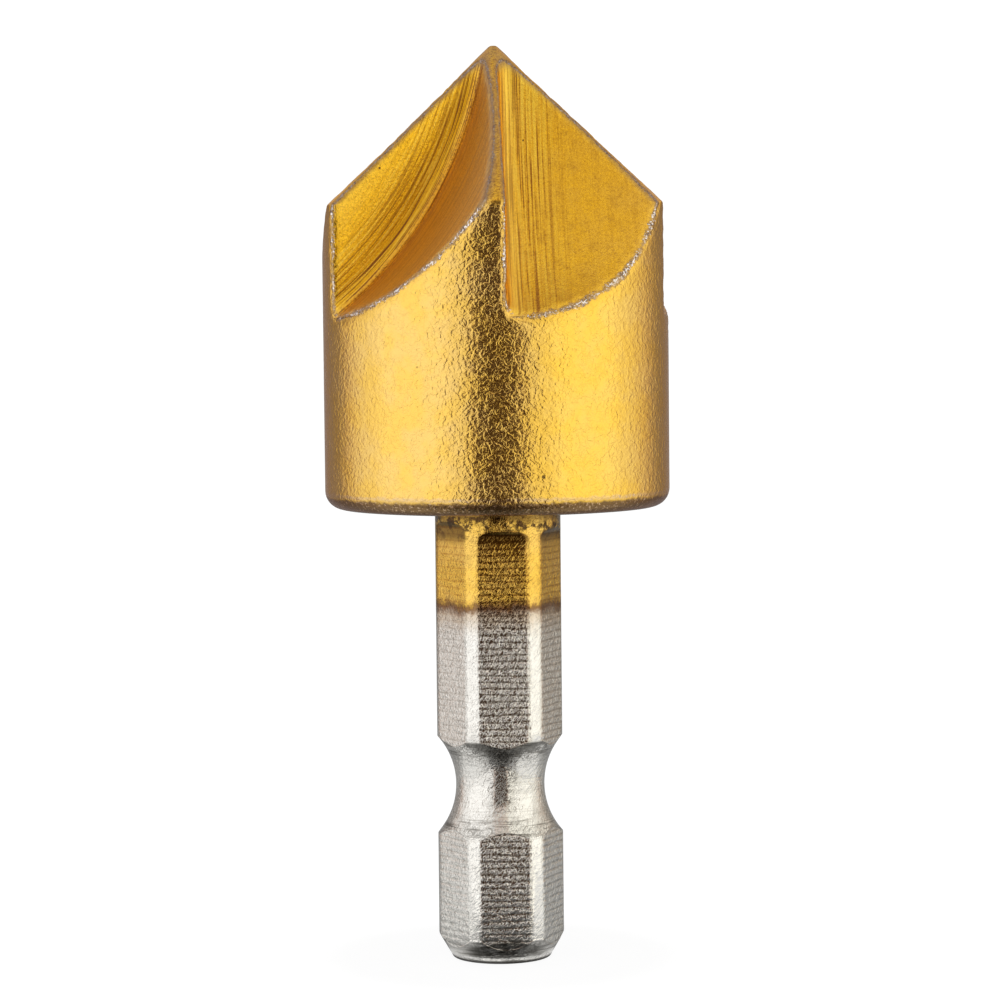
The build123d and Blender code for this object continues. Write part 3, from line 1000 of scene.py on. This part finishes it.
def studio_world(context):
    """White to the camera. In metal it has pale walls left and right and a pale top, with a dark gap in front."""
    world = bpy.data.worlds.new("studio")
    context.scene.world = world
    world.use_nodes = True
    n = NodeMaker(world.node_tree)
    world.node_tree.nodes.clear()
    x, y, z = n.separate(n.out(n.node("ShaderNodeTexCoord"), "Generated"))
    azimuth = n.math("WRAP", n.math("ARCTAN2", x, -y) * DEGREES - CAMERA_ANGLE, 180.0, -180.0)
    elevation = n.math("ARCSINE", z) * DEGREES
    from_front = n.math("ABSOLUTE", azimuth)
    left = n.ramp(azimuth, -10.8, -20.5) * n.ramp(azimuth, -145.0, -96.0) * 0.97
    right = n.ramp(azimuth, 12.8, 22.5) * n.ramp(azimuth, 156.0, 91.0) * 0.98
    sides = n.greater(left, right) * n.ramp(elevation, -66.0, -34.0)
    in_front = n.ramp(from_front, 20.0, 8.0) * n.ramp(elevation, 50.0, 38.0)
    top = n.ramp(elevation, 9.0, 23.0) * (0.88 - n.ramp(elevation, 28.0, 50.0) * 0.22
                                          - n.ramp(elevation, 60.0, 88.0) * 0.22) * (1.0 - in_front * 0.28)
    level = n.greater(sides, top)
    behind = n.ramp(from_front, 90.0, 140.0)
    pale = n.greater(n.ramp(level, 0.0, 1.0, smooth=False), behind * 0.8)
    tint = n.mix_colour(pale, ROOM_SHADE, WHITE)
    tint = n.mix_colour(n.ramp(azimuth, 0.0, 20.0), tint, ROOM_RIGHT, "MULTIPLY")
    level = n.greater(level, 0.06 + behind * 0.20)
    path, mirrored = seen_by(n)
    strength = n.greater(n.out(path, "Is Camera Ray"), mirrored * level)
    strength = n.greater(strength, n.out(path, "Is Diffuse Ray") * 0.55)
    room = n.made("ShaderNodeBackground", {"Color": n.mix_colour(mirrored, WHITE, tint), "Strength": strength})
    n.made("ShaderNodeOutputWorld", {"Surface": n.out(room)})


def sweep_material(side, away):
    """White to the camera with a soft shadow. In metal it glows as a painted reflection with painted shadow: dark in
    front of the bit and right under it, and pale beside it.
    """
    material = bpy.data.materials.new("pale sweep")
    material.use_nodes = True
    material.node_tree.nodes.clear()
    n = NodeMaker(material.node_tree)
    path, mirrored = seen_by(n)
    to_camera = n.out(path, "Is Camera Ray")
    place = object_place(n)
    across, along = n.dot(place, tuple(side)), n.dot(place, tuple(away))
    reach = n.hypot(across, along)
    turn = n.math("ARCTAN2", n.math("ABSOLUTE", across), -along) * DEGREES
    # painted shadow and light seen in metal: the glow is dark in front of the bit and right under it, and pale beside
    # it
    beside = n.ramp(turn, 14.0, 55.0) * (1.0 - n.ramp(turn, 95.0, 125.0) * 0.7)
    in_front = 0.90 - n.ramp(reach, 3.00, 3.16) * 0.90
    at_side = 0.68 - n.ramp(reach, 2.95, 3.70) * 0.38 + n.ramp(reach, 5.0, 14.0) * 0.50
    seen = n.blend(in_front, at_side, beside) * (0.20 + n.ramp(reach, 2.84, 2.93) * 0.80)
    shown = 0.915 + n.ramp(reach, 8.0, 14.0) * 0.085
    diffuse = n.made("ShaderNodeBsdfDiffuse", {"Color": SWEEP_COLOUR})
    glow = n.made("ShaderNodeEmission", {"Color": WHITE, "Strength": to_camera * shown + mirrored * seen})
    both = n.made("ShaderNodeAddShader", {0: n.out(diffuse), 1: n.out(glow)})

    # from behind, the camera looks through the sweep to the bit
    behind = n.out(n.node("ShaderNodeNewGeometry"), "Backfacing") * to_camera
    clear = n.node("ShaderNodeBsdfTransparent")
    either = n.made("ShaderNodeMixShader", {0: behind, 1: n.out(both), 2: n.out(clear)})
    n.made("ShaderNodeOutputMaterial", {"Surface": n.out(either)})
    return material


def build_stage(context):
    """Two wide softboxes beside the bit, and a pale sweep under and behind it."""
    target = Vector((0.0, 0.0, 0.03))
    camera_angle = math.radians(CAMERA_ANGLE)
    for name, turn, size, radiance in (("left softbox", -58, (0.40, 0.40), 0.22),
                                       ("right softbox", 62, (0.36, 0.40), 0.26)):
        a = camera_angle + math.radians(turn)
        softbox(context, name, Vector((0.40 * math.sin(a), -0.40 * math.cos(a), 0.10)), target, size, radiance)
    studio_world(context)

    side = Vector((math.cos(camera_angle), math.sin(camera_angle), 0.0))
    away = Vector((-math.sin(camera_angle), math.cos(camera_angle), 0.0))
    rows = [(SWEEP_FRONT, 0.0), (SWEEP_BACK, 0.0)]
    for k in range(1, SWEEP_STEPS + 1):
        a = math.radians(90 * k / SWEEP_STEPS)
        rows.append((SWEEP_BACK + SWEEP_CURVE * math.sin(a), SWEEP_CURVE * (1 - math.cos(a))))
    rows.append((SWEEP_BACK + SWEEP_CURVE, SWEEP_HEIGHT))

    # the sweep widens away from the camera
    points = []
    for distance, height in rows:
        half = 0.030 + 0.21 * (min(distance, SWEEP_BACK) - SWEEP_FRONT) + 0.12 * height
        for x in (-half, half):
            p = side * x + away * distance
            points.append((p.x, p.y, height - SWEEP_GAP))
    mesh = bpy.data.meshes.new("sweep")
    mesh.from_pydata(points, [], [(2 * k, 2 * k + 1, 2 * k + 3, 2 * k + 2) for k in range(len(rows) - 1)])
    for polygon in mesh.polygons:
        polygon.use_smooth = True
    mesh.materials.append(sweep_material(side, away))
    sweep = new_object(context, "sweep", mesh)


def build_camera(context):
    """A long lens a little above the middle of the bit, looking slightly down."""
    angle = math.radians(CAMERA_ANGLE)
    distance, height, pitch, roll = 0.180, 0.0360, math.radians(3.3815), math.radians(0.57)
    data = bpy.data.cameras.new("camera")
    data.lens = 117.5
    data.sensor_width = 36.0
    data.sensor_fit = "HORIZONTAL"
    data.shift_x = 0.0025
    data.clip_start = 0.01
    data.clip_end = 10.0
    camera = new_object(context, "camera", data)
    turn = (Matrix.Rotation(angle, 4, "Z") @ Matrix.Rotation(math.pi / 2 - pitch, 4, "X")
            @ Matrix.Rotation(-roll, 4, "Z"))
    place = Vector((distance * math.sin(angle), -distance * math.cos(angle), height))
    camera.matrix_world = Matrix.Translation(place) @ turn
    context.scene.camera = camera
    context.scene.view_settings.view_transform = "Standard"


class COUNTERSINK_PT_panel(bpy.types.Panel):
    """Lists the bit's sizes and colours, and the buttons that build the bit and its stage"""
    bl_idname = "COUNTERSINK_PT_panel"
    bl_label = "Countersink Bit"
    bl_space_type = "VIEW_3D"
    bl_region_type = "UI"
    bl_category = "Countersink"

    def draw(self, context):
        layout = self.layout
        settings = context.scene.countersink_settings
        for name in settings.bl_rna.properties.keys():
            if name not in ("rna_type", "name"):
                layout.prop(settings, name)
        layout.operator(COUNTERSINK_OT_bit.bl_idname)
        layout.operator(COUNTERSINK_OT_stage.bl_idname)


CLASSES = (BitSettings, COUNTERSINK_OT_bit, COUNTERSINK_OT_stage, COUNTERSINK_PT_panel)


def register():
    for cls in CLASSES:
        bpy.utils.register_class(cls)
    bpy.types.Scene.countersink_settings = bpy.props.PointerProperty(type=BitSettings)


def unregister():
    del bpy.types.Scene.countersink_settings
    for cls in reversed(CLASSES):
        bpy.utils.unregister_class(cls)


def main():
    """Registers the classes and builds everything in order."""
    register()
    bpy.ops.countersink.stage()
    bpy.ops.countersink.bit()


if __name__ == "__main__":
    main()
